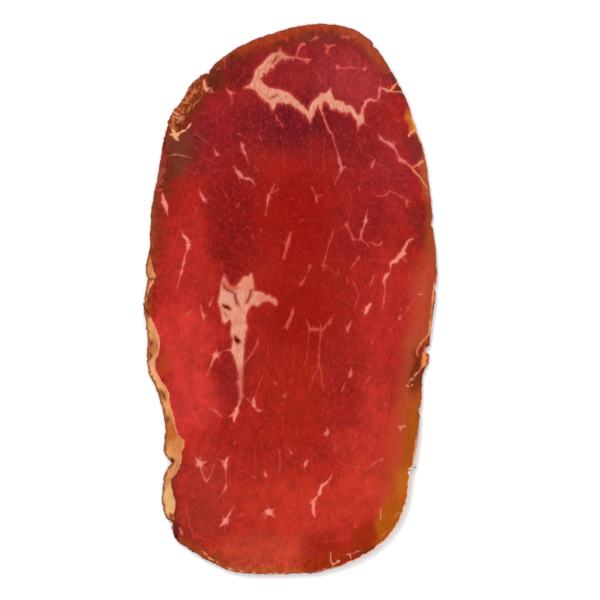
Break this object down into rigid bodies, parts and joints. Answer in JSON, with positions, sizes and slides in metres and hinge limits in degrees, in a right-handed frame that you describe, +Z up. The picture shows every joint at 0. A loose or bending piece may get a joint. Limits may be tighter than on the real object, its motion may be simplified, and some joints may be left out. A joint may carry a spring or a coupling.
{
  "type": "dried beef slice",
  "caption": "Thin oval slice of air-dried beef with marbled red lean, raised seams of fat, a fat rind down one side and a dried, craggy rim.",
  "frame": {"origin": "centre of the bounding box's bottom, on the surface that the slice lies on", "axes": "+Z up through the slice's thickness, +Y along its length towards the narrower crown, +X to the right with the fat rind on the left"},
  "size_m": [0.08, 0.1502, 0.0027],
  "materials": {
    "meat": "moist cured lean with seams of fat, satin"
  },
  "bodies": {
    "root": {"meat_slice": "meat"}
  },
  "joints": []
}
